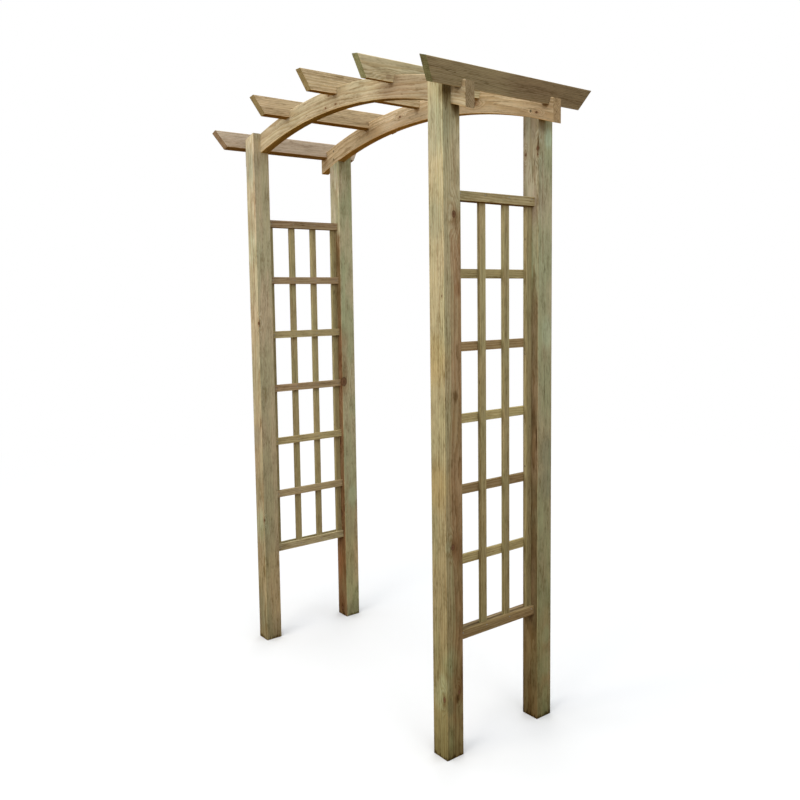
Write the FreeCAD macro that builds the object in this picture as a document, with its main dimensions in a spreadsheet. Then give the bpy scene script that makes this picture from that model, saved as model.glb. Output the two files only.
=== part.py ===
import FreeCAD, Part
import os
import Sketcher

# Timber garden arch. X runs across the path, Y along it and Z up, in millimetres.
# The origin is on the ground, in the middle between the four posts.

# Driving dimensions.
SIZES = {
    "post_size": "70",
    "post_spacing_across": "1215",
    "post_spacing_along": "415",
    "post_arris": "2.5",
    "crown_height": "2248",
    "arch_radius": "2250",
    "beam_height": "75",
    "beam_thickness": "36",
    "beam_projection": "12",
    "beam_arris": "1.5",
    "rafter_height": "69",
    "rafter_thickness": "32",
    "rafter_overhang": "150",
    "rafter_bevel": "42",
    "rafter_sink": "25",
    "rafter_arris": "1.5",
    "end_rafter_gap": "17",
    "panel_foot": "380",
    "panel_drop": "264",
    "upright_width": "26",
    "rail_height": "30",
    "lath_thickness": "13",
    "lath_arris": "1",
    "end_bay_extra": "8",
    "beam_screw_diameter": "5",
    "beam_screw_head": "10",
    "beam_screw_cover": "10",
    "beam_screw_spacing": "36",
    "rafter_screw_diameter": "5",
    "rafter_screw_head": "10",
    "rafter_screw_cover": "35",
    "panel_screw_diameter": "4",
    "panel_screw_head": "8",
    "panel_screw_bite": "34",
    "nail_diameter": "2",
    "nail_head": "4.5",
    "nail_head_thickness": "0.8",
    "nail_cover": "4",
    "nail_stagger": "7",
    "seat_gap": "0.2",
    "notch_gap": "0.5",
    "panel_gap": "0.2",
    "hole_gap": "0.1",
    "cut_overrun": "1",
}

# Places and sizes that follow from the driving dimensions.
PLACES = {
    "post_x": "=Sizes.post_spacing_across / 2",
    "post_y": "=Sizes.post_spacing_along / 2",
    "arch_centre": "=Sizes.crown_height - Sizes.arch_radius",
    "under_radius": "=Sizes.arch_radius - Sizes.beam_height",
    "middle_radius": "=Sizes.arch_radius - Sizes.beam_height / 2",
    "beam_y": "=post_y - Sizes.post_size / 2 + Sizes.beam_thickness / 2",
    "seat_height": "=arch_centre + sqrt(under_radius ^ 2 - post_x ^ 2)",
    "lap_rise": "=sqrt(middle_radius ^ 2 - post_x ^ 2)",
    "rafter_bottom": "=Sizes.arch_radius - Sizes.rafter_sink",
    "rafter_top": "=rafter_bottom + Sizes.rafter_height",
    "rafter_half": "=beam_y + Sizes.beam_thickness / 2 + Sizes.rafter_overhang",
    "rafter_inner_x": "=post_x + Sizes.post_size / 2 + Sizes.end_rafter_gap",
    "rafter_corner_radius": "=sqrt(rafter_bottom ^ 2 + Sizes.rafter_thickness ^ 2 / 4)",
    "end_angle": "=asin(rafter_inner_x / rafter_corner_radius)"
                 " + atan(Sizes.rafter_thickness / 2 / rafter_bottom)",
    "rafter_angle": "=end_angle / 2",
    "beam_half": "=Sizes.arch_radius * sin(end_angle)"
                 " + Sizes.rafter_thickness / 2 * cos(end_angle) + Sizes.beam_projection",
    "panel_width": "=Sizes.post_spacing_along - Sizes.post_size - 2 * Sizes.panel_gap",
    "panel_height": "=seat_height - Sizes.panel_drop - Sizes.panel_foot",
    "panel_middle": "=Sizes.panel_foot + panel_height / 2",
    "upright_pitch": "=(panel_width - Sizes.upright_width) / 3",
    "end_rail_rise": "=(panel_height - Sizes.rail_height) / 2",
    "rail_pitch": "=(end_rail_rise - Sizes.end_bay_extra) / 3",
    "beam_screw_length": "=Sizes.post_size - Sizes.beam_screw_cover",
    "rafter_screw_length": "=Sizes.rafter_height - Sizes.rafter_sink + Sizes.beam_height"
                           " - Sizes.rafter_screw_cover",
    "panel_screw_length": "=Sizes.upright_width + Sizes.panel_screw_bite",
    "panel_screw_span": "=5 * rail_pitch",
    "nail_length": "=2 * Sizes.lath_thickness - Sizes.nail_cover",
}

# Signs of the two sides of the path and of its two ends.
SIDES = {"left": -1, "right": 1}
ENDS = {"front": -1, "rear": 1}

# Rafters by their number of steps from the crown.
RAFTERS = {
    "left_end_rafter": -2,
    "left_inner_rafter": -1,
    "crown_rafter": 0,
    "right_inner_rafter": 1,
    "right_end_rafter": 2,
}

# Places of the uprights along Y and of the rails up and down from a panel's middle.
UPRIGHTS = {
    "front_stile": "-1.5 * Places.upright_pitch",
    "front_upright": "-0.5 * Places.upright_pitch",
    "rear_upright": "0.5 * Places.upright_pitch",
    "rear_stile": "1.5 * Places.upright_pitch",
}
RAILS = {
    "rail_1": "Places.end_rail_rise",
    "rail_2": "2 * Places.rail_pitch",
    "rail_3": "Places.rail_pitch",
    "rail_4": "0",
    "rail_5": "-Places.rail_pitch",
    "rail_6": "-2 * Places.rail_pitch",
    "rail_7": "-Places.end_rail_rise",
}
OUTER_RAILS = {
    "outer_top_rail": "Places.end_rail_rise",
    "outer_bottom_rail": "-Places.end_rail_rise",
}
PANEL_SCREWS_PER_STILE = 4

doc = FreeCAD.newDocument("GardenArch")
nodes = []


def add_sheet(name, rows):
    """A sheet with one named value on each row."""
    sheet = doc.addObject("Spreadsheet::Sheet", name)
    for row, (alias, text) in enumerate(rows.items(), start=1):
        sheet.set(f"A{row}", alias)
        sheet.set(f"B{row}", text)
        sheet.setAlias(f"B{row}", alias)
    doc.recompute()
    return sheet


sizes = add_sheet("Sizes", SIZES)
add_sheet("Places", PLACES)


def number(expression):
    """The value of an expression of the two sheets."""
    return float(sizes.evalExpression(expression))


# Helpers for bodies, sketches and features.
def add_body(node, x="0", y="0", z="0", lean=None):
    """A sub-part at a place, leaning about Y where an angle is given."""
    body = doc.addObject("PartDesign::Body", node)
    body.Label = node
    if lean is not None:
        one_degree = FreeCAD.Rotation(FreeCAD.Vector(0, 1, 0), 1)
        body.Placement = FreeCAD.Placement(FreeCAD.Vector(), one_degree)
        body.setExpression("Placement.Rotation.Angle", lean)
    for axis, expression in zip("xyz", (x, y, z)):
        body.setExpression(f"Placement.Base.{axis}", expression)
    nodes.append(body)
    return body


def origin_feature(body, role):
    """A plane or an axis of a body's own origin."""
    return next(item for item in body.Origin.OriginFeatures if item.Role == role)


def add_sketch(body, name, plane, across="0", up="0", out="0"):
    """A sketch on an origin plane, moved across and up in the plane and out along its normal."""
    sketch = body.newObject("Sketcher::SketchObject", name)
    sketch.AttachmentSupport = [(origin_feature(body, plane), "")]
    sketch.MapMode = "FlatFace"
    for axis, expression in zip("xyz", (across, up, out)):
        sketch.setExpression(f"AttachmentOffset.Base.{axis}", expression)
    return sketch


def bind(sketch, constraint, expression):
    """Add a dimension whose value is an expression."""
    index = sketch.addConstraint(constraint)
    sketch.setExpression(f"Constraints[{index}]", expression)


def pin(sketch, geometry, point, x, y):
    """Hold a point of a sketch at two expressions."""
    bind(sketch, Sketcher.Constraint("DistanceX", -1, 1, geometry, point, number(x)), x)
    bind(sketch, Sketcher.Constraint("DistanceY", -1, 1, geometry, point, number(y)), y)


def draw_polygon(sketch, points):
    """A closed outline through points, each given as two expressions."""
    spots = [FreeCAD.Vector(number(x), number(y), 0) for x, y in points]
    first = sketch.GeometryCount
    for index, spot in enumerate(spots):
        sketch.addGeometry(Part.LineSegment(spot, spots[(index + 1) % len(spots)]), False)
    for index, (x, y) in enumerate(points):
        after = first + (index + 1) % len(points)
        sketch.addConstraint(Sketcher.Constraint("Coincident", first + index, 2, after, 1))
        pin(sketch, first + index, 1, x, y)


def draw_rectangle(sketch, left, right, bottom, top):
    draw_polygon(sketch, [(left, bottom), (right, bottom), (right, top), (left, top)])


def add_arc(sketch, centre_x, centre_y, radius, left, right):
    """An arc over the top of a circle, from a right-hand x to a left-hand one."""
    middle = FreeCAD.Vector(number(centre_x), number(centre_y), 0)
    circle = Part.Circle(middle, FreeCAD.Vector(0, 0, 1), number(radius))
    ends = []
    for x in (right, left):
        run = number(x) - middle.x
        rise = (circle.Radius ** 2 - run ** 2) ** 0.5
        ends.append(circle.parameter(middle + FreeCAD.Vector(run, rise, 0)))
    arc = sketch.addGeometry(Part.ArcOfCircle(circle, *ends), False)
    pin(sketch, arc, 3, centre_x, centre_y)
    bind(sketch, Sketcher.Constraint("Radius", arc, circle.Radius), radius)
    bind(sketch, Sketcher.Constraint("DistanceX", -1, 1, arc, 1, number(right)), right)
    bind(sketch, Sketcher.Constraint("DistanceX", -1, 1, arc, 2, number(left)), left)
    return arc


def join_ends(sketch, start, end):
    """A straight line from the end of one piece of a sketch to the start of another."""
    line = Part.LineSegment(sketch.getPoint(*start), sketch.getPoint(*end))
    index = sketch.addGeometry(line, False)
    sketch.addConstraint(Sketcher.Constraint("Coincident", index, 1, *start))
    sketch.addConstraint(Sketcher.Constraint("Coincident", index, 2, *end))
    return index


def draw_holes(sketch, radius, spots):
    """Equal circles at places that are each given as two expressions."""
    circles = []
    for x, y in spots:
        middle = FreeCAD.Vector(number(x), number(y), 0)
        circle = Part.Circle(middle, FreeCAD.Vector(0, 0, 1), number(radius))
        circles.append(sketch.addGeometry(circle, False))
        pin(sketch, circles[-1], 3, x, y)
    bind(sketch, Sketcher.Constraint("Radius", circles[0], number(radius)), radius)
    for circle in circles[1:]:
        sketch.addConstraint(Sketcher.Constraint("Equal", circles[0], circle))


def add_feature(body, kind, name, sketch):
    """A PartDesign feature of a sketch."""
    feature = body.newObject(f"PartDesign::{kind}", name)
    feature.Profile = sketch
    return feature


def pad_both_ways(body, name, sketch, length):
    """A pad whose middle is the sketch's plane."""
    pad = add_feature(body, "Pad", name, sketch)
    pad.SideType = "Symmetric"
    pad.setExpression("Length", length)
    doc.recompute()
    return pad


def pad_one_way(body, name, sketch, length, along_normal):
    pad = add_feature(body, "Pad", name, sketch)
    pad.Reversed = not along_normal
    pad.setExpression("Length", length)
    doc.recompute()
    return pad


def cut(body, name, sketch, depth=None, along_normal=True):
    """A pocket of a depth along the sketch's normal or against it, or else right through."""
    base_volume = body.Tip.Shape.Volume
    pocket = add_feature(body, "Pocket", name, sketch)
    if depth is None:
        pocket.Type = "ThroughAll"
        pocket.SideType = "Symmetric"
    else:
        pocket.Reversed = along_normal
        pocket.setExpression("Length", depth)
    doc.recompute()
    if not pocket.Shape.Volume < base_volume:
        raise RuntimeError(f"{name} of {body.Label} cuts nothing")
    return pocket


def ease_edges(body, size, wanted, kind="Fillet"):
    """Round, or chamfer, those edges of a body's last feature that wanted picks."""
    base = body.Tip
    names = [f"Edge{index}" for index, edge in enumerate(base.Shape.Edges, start=1) if wanted(edge)]
    eased = body.newObject(f"PartDesign::{kind}", "EasedArrises")
    eased.Base = (base, names)
    eased.setExpression("Radius" if kind == "Fillet" else "Size", size)
    doc.recompute()


def runs_along(direction):
    """A test for straight edges along a direction of the body."""
    def wanted(edge):
        straight = isinstance(edge.Curve, Part.Line)
        return straight and abs(edge.tangentAt(edge.FirstParameter).dot(direction)) > 0.999
    return wanted


def is_round(edge):
    return isinstance(edge.Curve, Part.Circle)


def repeat(body, originals, rows):
    """Repeat features along one or two axes; a row is an axis, a span and a count."""
    pattern = body.newObject("PartDesign::LinearPattern", "Rows")
    pattern.Originals = originals
    for suffix, (axis, span, count) in zip(("", "2"), rows):
        setattr(pattern, f"Direction{suffix}", (origin_feature(body, axis), [""]))
        setattr(pattern, f"Occurrences{suffix}", count)
        pattern.setExpression(f"Length{suffix}", span)
    body.Tip = pattern
    doc.recompute()


def repeat_round(body, originals, angle, count):
    """Repeat features about the arch's centre line."""
    pattern = body.newObject("PartDesign::PolarPattern", "Fan")
    pattern.Originals = originals
    pattern.Axis = (origin_feature(body, "Y_Axis"), [""])
    pattern.setExpression("Angle", angle)
    pattern.Occurrences = count
    body.Tip = pattern
    doc.recompute()


# Countersunk screws and the holes that hold them, both turned from one profile.
def screw_points(kind, hole):
    """Half section of a screw, or of its hole, as pairs of depth and radius."""
    shank = f"Sizes.{kind}_diameter / 2"
    head = f"Sizes.{kind}_head / 2"
    length = f"Places.{kind}_length"
    head_depth = f"{head} - {shank}"
    if not hole:
        point_start = f"{length} - Sizes.{kind}_diameter"
        return [("0", "0"), ("0", head), (head_depth, shank), (point_start, shank), (length, "0")]
    wide = f"{head} + Sizes.hole_gap"
    narrow = f"{shank} + Sizes.hole_gap"
    end = f"{length} + Sizes.hole_gap"
    return [("-Sizes.cut_overrun", "0"), ("-Sizes.cut_overrun", wide), ("0", wide),
            (head_depth, narrow), (end, narrow), (end, "0")]


def turn_screw(body, kind, hole, way, across="0", up="0", out="0", upright=False):
    """Turn a screw, or cut its hole, with the middle of its head at a place.

    The screw points along Y, or along Z where it is upright, towards the sign of way.
    """
    name = "ScrewHole" if hole else "Screw"
    sketch = add_sketch(body, f"{name}Profile", "YZ_Plane", across, up, out)
    points = [(f"{way} * ({depth})", radius) for depth, radius in screw_points(kind, hole)]
    if upright:
        points = [(radius, depth) for depth, radius in points]
    draw_polygon(sketch, points)
    turned = add_feature(body, "Groove" if hole else "Revolution", name, sketch)
    turned.ReferenceAxis = (sketch, ["V_Axis" if upright else "H_Axis"])
    turned.Angle = 360
    doc.recompute()
    return turned


# Heights of the lowest panel screw, from a panel's middle, and of the lower beam screw, from
# the arch's centre, and the rows in which screws repeat.
LOWEST_PANEL_SCREW = "-Places.panel_screw_span / 2"
LOWER_BEAM_SCREW = "Places.lap_rise - Sizes.beam_screw_spacing / 2"
PANEL_SCREW_ROW = ("Z_Axis", "Places.panel_screw_span", PANEL_SCREWS_PER_STILE)
BEAM_SCREW_ROW = ("Z_Axis", "Sizes.beam_screw_spacing", 2)
POST_ROW = ("X_Axis", "Sizes.post_spacing_across", 2)


def make_post(node, side, end):
    """A square post, half lapped at its top to seat a beam on the inner side."""
    body = add_body(node, f"{side} * Places.post_x", f"{end} * Places.post_y")
    half = "Sizes.post_size / 2"
    arch_x = f"{-side} * Places.post_x"
    outline = add_sketch(body, "Outline", "XZ_Plane")
    top = add_arc(outline, arch_x, "Places.arch_centre", "Sizes.arch_radius", f"-{half}", half)
    foot = outline.addGeometry(
        Part.LineSegment(FreeCAD.Vector(-number(half), 0, 0), FreeCAD.Vector(number(half), 0, 0)), False)
    pin(outline, foot, 1, f"-{half}", "0")
    pin(outline, foot, 2, half, "0")
    join_ends(outline, (foot, 2), (top, 1))
    join_ends(outline, (top, 2), (foot, 1))
    pad_both_ways(body, "Timber", outline, "Sizes.post_size")
    ease_edges(body, "Sizes.post_arris", runs_along(FreeCAD.Vector(0, 0, 1)))

    # The plane's normal is -Y, so the post's inner face lies at end times half its size along it.
    inner_face = f"{end} * {half}"
    lap = add_sketch(body, "Lap", "XZ_Plane", out=inner_face)
    reach = f"{half} + Sizes.cut_overrun"
    seat_radius = "Places.under_radius - Sizes.seat_gap"
    seat = add_arc(lap, arch_x, "Places.arch_centre", seat_radius, f"-({reach})", reach)
    height = "Sizes.crown_height"
    lid = lap.addGeometry(
        Part.LineSegment(FreeCAD.Vector(-number(reach), number(height), 0),
                         FreeCAD.Vector(number(reach), number(height), 0)), False)
    pin(lap, lid, 1, f"-({reach})", height)
    pin(lap, lid, 2, reach, height)
    join_ends(lap, (seat, 1), (lid, 2))
    join_ends(lap, (lid, 1), (seat, 2))
    cut(body, "LapCut", lap, "Sizes.beam_thickness", along_normal=end < 0)

    beam_hole = turn_screw(body, "beam_screw", True, end, across=f"{-end} * {half}",
                           up=f"Places.arch_centre + {LOWER_BEAM_SCREW}")
    repeat(body, [beam_hole], [BEAM_SCREW_ROW])
    stile_edge = f"{end} * (Places.panel_width / 2 - Sizes.upright_width - Places.post_y)"
    panel_hole = turn_screw(body, "panel_screw", True, end, across=stile_edge,
                            up=f"Places.panel_middle + {LOWEST_PANEL_SCREW}")
    repeat(body, [panel_hole], [PANEL_SCREW_ROW])


def make_beam(node, end):
    """A beam cut to the arch, seated in the laps of two posts."""
    body = add_body(node, y=f"{end} * Places.beam_y", z="Places.arch_centre")
    outline = add_sketch(body, "Outline", "XZ_Plane")
    ends = ("-Places.beam_half", "Places.beam_half")
    top = add_arc(outline, "0", "0", "Sizes.arch_radius", *ends)
    under = add_arc(outline, "0", "0", "Places.under_radius", *ends)
    join_ends(outline, (top, 2), (under, 2))
    join_ends(outline, (under, 1), (top, 1))
    pad_both_ways(body, "Timber", outline, "Sizes.beam_thickness")
    ease_edges(body, "Sizes.beam_arris", is_round, kind="Chamfer")

    post_hole = turn_screw(body, "beam_screw", True, end, across=f"{-end} * Sizes.beam_thickness / 2",
                           up=LOWER_BEAM_SCREW, out="-Places.post_x")
    repeat(body, [post_hole], [BEAM_SCREW_ROW, POST_ROW])
    rafter_hole = turn_rafter_hole_of_beam(body)
    repeat_round(body, [rafter_hole], "4 * Places.rafter_angle", len(RAFTERS))


def turn_rafter_hole_of_beam(body):
    """The pilot hole for the first rafter's screw, square to the beam's top."""
    sketch = add_sketch(body, "PilotProfile", "XZ_Plane")
    one_degree = FreeCAD.Rotation(FreeCAD.Vector(0, 0, 1), 1)
    sketch.AttachmentOffset = FreeCAD.Placement(FreeCAD.Vector(), one_degree)
    sketch.setExpression("AttachmentOffset.Rotation.Angle", "Places.end_angle")
    points = [(radius, f"Places.rafter_top - ({depth})")
              for depth, radius in screw_points("rafter_screw", True)]
    draw_polygon(sketch, points)
    hole = add_feature(body, "Groove", "PilotHole", sketch)
    hole.ReferenceAxis = (sketch, ["V_Axis"])
    hole.Angle = 360
    doc.recompute()
    return hole


def make_rafter(node, step):
    """A rafter square to the arch, notched over both beams and bevelled at its ends."""
    body = add_body(node, z="Places.arch_centre", lean=f"{step} * Places.rafter_angle")
    tip = "Places.rafter_half"
    heel = f"({tip} - Sizes.rafter_bevel)"
    outline = add_sketch(body, "Outline", "YZ_Plane")
    draw_polygon(outline, [(f"-{heel}", "Places.rafter_bottom"), (heel, "Places.rafter_bottom"),
                           (tip, "Places.rafter_top"), (f"-{tip}", "Places.rafter_top")])
    pad_both_ways(body, "Timber", outline, "Sizes.rafter_thickness")
    ease_edges(body, "Sizes.rafter_arris", runs_along(FreeCAD.Vector(0, 1, 0)))

    notches = add_sketch(body, "Notches", "YZ_Plane")
    half_notch = "(Sizes.beam_thickness / 2 + Sizes.notch_gap)"
    for end in ENDS.values():
        middle = f"{end} * Places.beam_y"
        draw_rectangle(notches, f"{middle} - {half_notch}", f"{middle} + {half_notch}",
                       "Places.rafter_bottom - Sizes.cut_overrun", "Sizes.arch_radius + Sizes.seat_gap")
    cut(body, "NotchCut", notches)
    hole = turn_screw(body, "rafter_screw", True, -1, across="-Places.beam_y",
                      up="Places.rafter_top", upright=True)
    repeat(body, [hole], [("Y_Axis", "2 * Places.beam_y", 2)])


def make_upright(node, side, place):
    """An upright lath of a trellis panel, nailed to the rails that cross it."""
    body = add_body(node, f"{side} * Places.post_x", place, "Places.panel_middle")
    half_thick = "Sizes.lath_thickness / 2"
    half_wide = "Sizes.upright_width / 2"
    section = add_sketch(body, "Section", "XY_Plane")
    draw_rectangle(section, f"-{half_thick}", half_thick, f"-{half_wide}", half_wide)
    pad_both_ways(body, "Lath", section, "Places.panel_height")
    ease_edges(body, "Sizes.lath_arris", runs_along(FreeCAD.Vector(0, 0, 1)))

    radius = "Sizes.nail_diameter / 2 + Sizes.hole_gap"
    depth = "Places.nail_length - Sizes.lath_thickness + Sizes.hole_gap"
    inner = add_sketch(body, "InnerNails", "YZ_Plane", out=f"{-side} * {half_thick}")
    draw_holes(inner, radius, [("0", rise) for rise in RAILS.values()])
    cut(body, "InnerNailHoles", inner, depth, along_normal=side > 0)
    outer = add_sketch(body, "OuterNails", "YZ_Plane", out=f"{side} * {half_thick}")
    draw_holes(outer, radius, [("0", f"{rise} + Sizes.nail_stagger") for rise in OUTER_RAILS.values()])
    cut(body, "OuterNailHoles", outer, depth, along_normal=side < 0)
    return body


def make_stile(node, side, end, place):
    """An outermost upright, screwed through its width to the post beside it."""
    body = make_upright(node, side, place)
    hole = turn_screw(body, "panel_screw", True, end, across=f"{-end} * Sizes.upright_width / 2",
                      up=LOWEST_PANEL_SCREW)
    repeat(body, [hole], [PANEL_SCREW_ROW])


def make_rail(node, side, layer, rise, nail_rise):
    """A level lath between two posts, one layer off the uprights on the path side or outside."""
    body = add_body(node, f"{side} * (Places.post_x + {layer} * Sizes.lath_thickness)",
                    z=f"Places.panel_middle + {rise}")
    half_thick = "Sizes.lath_thickness / 2"
    half_high = "Sizes.rail_height / 2"
    section = add_sketch(body, "Section", "XZ_Plane")
    draw_rectangle(section, f"-{half_thick}", half_thick, f"-{half_high}", half_high)
    pad_both_ways(body, "Lath", section, "Places.panel_width")
    ease_edges(body, "Sizes.lath_arris", runs_along(FreeCAD.Vector(0, 1, 0)))
    nails = add_sketch(body, "Nails", "YZ_Plane")
    radius = "Sizes.nail_diameter / 2 + Sizes.hole_gap"
    draw_holes(nails, radius, [(place, nail_rise) for place in UPRIGHTS.values()])
    cut(body, "NailHoles", nails)


def make_panel(name, side):
    """A trellis panel between the two posts of one side."""
    make_stile(f"{name}_front_stile", side, ENDS["front"], UPRIGHTS["front_stile"])
    make_upright(f"{name}_front_upright", side, UPRIGHTS["front_upright"])
    make_upright(f"{name}_rear_upright", side, UPRIGHTS["rear_upright"])
    make_stile(f"{name}_rear_stile", side, ENDS["rear"], UPRIGHTS["rear_stile"])
    for rail, rise in RAILS.items():
        make_rail(f"{name}_{rail}", side, -1, rise, "0")
    for rail, rise in OUTER_RAILS.items():
        make_rail(f"{name}_{rail}", side, 1, rise, "Sizes.nail_stagger")


def make_nails(node, side):
    """The nails of one panel: a head on the rail's face and a shank into the upright."""
    body = add_body(node, f"{side} * Places.post_x", z="Places.panel_middle")
    inner = [(place, rise) for rise in RAILS.values() for place in UPRIGHTS.values()]
    outer = [(place, f"{rise} + Sizes.nail_stagger")
             for rise in OUTER_RAILS.values() for place in UPRIGHTS.values()]
    for name, layer, spots in (("Inner", -side, inner), ("Outer", side, outer)):
        face = f"{layer} * 1.5 * Sizes.lath_thickness"
        shanks = add_sketch(body, f"{name}Shanks", "YZ_Plane", out=face)
        draw_holes(shanks, "Sizes.nail_diameter / 2", spots)
        pad_one_way(body, f"{name}ShankPads", shanks, "Places.nail_length", along_normal=layer < 0)
        heads = add_sketch(body, f"{name}Heads", "YZ_Plane", out=face)
        draw_holes(heads, "Sizes.nail_head / 2", spots)
        pad_one_way(body, f"{name}HeadPads", heads, "Sizes.nail_head_thickness", along_normal=layer > 0)


def make_screws():
    """The screws of the beams, the rafters and the panels, one group of each kind."""
    beam_screws = add_body("beam_screws", z="Places.arch_centre")
    turned = [turn_screw(beam_screws, "beam_screw", False, end, out="-Places.post_x", up=LOWER_BEAM_SCREW,
                         across=f"{end} * (Places.beam_y - Sizes.beam_thickness / 2)")
              for end in ENDS.values()]
    repeat(beam_screws, turned, [BEAM_SCREW_ROW, POST_ROW])

    rafter_screws = add_body("rafter_screws", z="Places.arch_centre", lean="-Places.end_angle")
    turned = [turn_screw(rafter_screws, "rafter_screw", False, -1, across=f"{end} * Places.beam_y",
                         up="Places.rafter_top", upright=True)
              for end in ENDS.values()]
    repeat_round(rafter_screws, turned, "4 * Places.rafter_angle", len(RAFTERS))

    panel_screws = add_body("panel_screws", z="Places.panel_middle")
    turned = [turn_screw(panel_screws, "panel_screw", False, end, up=LOWEST_PANEL_SCREW,
                         across=f"{end} * (Places.panel_width / 2 - Sizes.upright_width)",
                         out="-Places.post_x")
              for end in ENDS.values()]
    repeat(panel_screws, turned, [PANEL_SCREW_ROW, POST_ROW])


def check_and_write():
    """Write each sub-part to its file, if the whole document is sound."""
    doc.recompute()
    failed = [item.Label for item in doc.Objects if "Invalid" in item.State or "Error" in item.State]
    failed += [body.Label for body in nodes if body.Shape.isNull() or not body.Shape.isValid()]
    if failed:
        raise RuntimeError(f"failed: {failed}")
    os.makedirs("parts", exist_ok=True)
    for body in nodes:
        body.Shape.exportStep(f"parts/{body.Label}.step")
        print(f"{body.Label}: {len(body.Shape.Solids)} solids, {body.Shape.Volume / 1000:.1f} cm3")


for end_name, end_sign in ENDS.items():
    for side_name, side_sign in SIDES.items():
        make_post(f"{end_name}_{side_name}_post", side_sign, end_sign)
    make_beam(f"{end_name}_beam", end_sign)
for rafter_name, rafter_step in RAFTERS.items():
    make_rafter(rafter_name, rafter_step)
for side_name, side_sign in SIDES.items():
    make_panel(f"{side_name}_panel", side_sign)
    make_nails(f"{side_name}_panel_nails", side_sign)
make_screws()
check_and_write()
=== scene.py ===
import math
import bpy
from mathutils import Euler, Matrix, Vector


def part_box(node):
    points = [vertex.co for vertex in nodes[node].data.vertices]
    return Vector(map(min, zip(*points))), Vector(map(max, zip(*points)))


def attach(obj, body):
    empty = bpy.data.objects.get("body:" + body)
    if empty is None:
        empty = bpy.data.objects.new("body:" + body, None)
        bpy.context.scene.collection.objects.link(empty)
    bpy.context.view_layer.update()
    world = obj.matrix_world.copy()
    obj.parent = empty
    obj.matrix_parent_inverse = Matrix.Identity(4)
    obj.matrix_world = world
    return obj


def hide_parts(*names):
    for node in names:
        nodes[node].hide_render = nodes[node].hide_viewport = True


# Looks of a timber garden arch. Metres, +Z up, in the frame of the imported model.
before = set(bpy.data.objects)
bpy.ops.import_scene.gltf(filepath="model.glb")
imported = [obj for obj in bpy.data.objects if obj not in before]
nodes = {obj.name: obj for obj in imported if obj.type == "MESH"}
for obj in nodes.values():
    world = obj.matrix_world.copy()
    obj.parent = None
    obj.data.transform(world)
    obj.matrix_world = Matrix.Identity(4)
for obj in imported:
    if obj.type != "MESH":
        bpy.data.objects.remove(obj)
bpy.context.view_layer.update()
bpy.ops.object.select_all(action="DESELECT")

MILLIMETRE = 0.001
ALONG_X = (1, 0, 0)
ALONG_Y = (0, 1, 0)
ALONG_Z = (0, 0, 1)
SIDES = {"left": -1, "right": 1}
ENDS = (-1, 1)
FRONT = (0, -1, 0)

# The arch that the beams and rafters follow: its radius, and the height of its centre.
ARCH_RADIUS = 2.25
ARCH_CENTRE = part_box("front_beam")[1].z - ARCH_RADIUS

# Half sections of the timbers, across their grain.
POST_HALF = (0.035, 0.035)
BEAM_HALF = (0.0375, 0.018)
RAFTER_HALF = (0.016, 0.0345)
UPRIGHT_HALF = (0.0065, 0.013)
RAIL_HALF = (0.0065, 0.015)

# Colours of the timber, in linear light.
STRAW = (0.52, 0.445, 0.275)
PALE_STRAW = (0.52, 0.44, 0.30)
SAGE_STRAW = (0.48, 0.437, 0.285)
TAN = (0.50, 0.385, 0.235)
SANDY_TAN = (0.483, 0.391, 0.252)
PINKISH_TAN = (0.46, 0.37, 0.275)
OLIVE_TAN = (0.413, 0.344, 0.187)
BROWN_TAN = (0.38, 0.276, 0.168)
OCHRE_TAN = (0.41, 0.338, 0.170)
RUST_TAN = (0.38, 0.270, 0.140)
UMBER_TAN = (0.35, 0.280, 0.162)

# What multiplies a timber's colour: its latewood, fibres, heartwood, salts, damp, cuts and cracks, and
# painted shade, shadow, light and highlights.
LATE_WOOD = (0.70, 0.60, 0.48)
FIBRE_DARK = (0.62, 0.58, 0.50)
FIBRE_PLAIN = (0.98, 0.98, 0.98)
FIBRE_LIGHT = (1.17, 1.17, 1.16)
HEARTWOOD = (0.84, 0.67, 0.62)
RED_HEART = (0.57, 0.355, 0.28)
SALT_GREEN = (0.74, 0.90, 0.82)
PALE_GREEN = (1.02, 1.19, 1.24)
DULL_GREEN = (0.78, 0.83, 0.86)
DULL_BROWN = (0.80, 0.75, 0.74)
PALE_PINK = (1.18, 1.05, 1.16)
BLEACHED = (1.22, 1.38, 1.55)
# Painted light: lightens the middle of the rear beam's front face, which lies in shade.
PAINTED_LIGHT = (1.20, 1.26, 1.38)
SUNNED = (1.16, 1.12, 1.07)
RUSTY = (0.80, 0.70, 0.65)
ROSY = (1.06, 0.93, 0.91)
AMBER = (1.0, 0.92, 0.80)
DULL_PINK = (0.92, 0.82, 0.90)
# Damp and painted shade: darkens the timbers towards the bottom, and the posts' feet more.
DAMP_AND_SHADE_UMBER = (0.46, 0.415, 0.28)
WET_RIM = (0.42, 0.36, 0.26)
# Painted shade on faces that look down: warmer on the beams, warmer and darker on the other timbers.
WARM_UNDERSIDE_SHADE = (1.04, 0.98, 0.72)
DARK_UNDERSIDE_SHADE = (0.72, 0.60, 0.37)
# Brown spots: a painted shadow under the right end rafter, on the front right post and the front beam, and
# a few darker spots.
BROWN_STAIN_AND_SHADOW = (0.50, 0.44, 0.36)
COOL_GREEN = (0.86, 0.93, 0.98)
OLIVE_CUT = (0.56, 0.57, 0.46)
GREEN_CUT = (0.47, 0.55, 0.46)
BROWN_CUT = (0.58, 0.51, 0.42)
GREY_CUT = (0.67, 0.62, 0.55)
WORN_ARRIS = (1.14, 1.12, 1.08)
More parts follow.
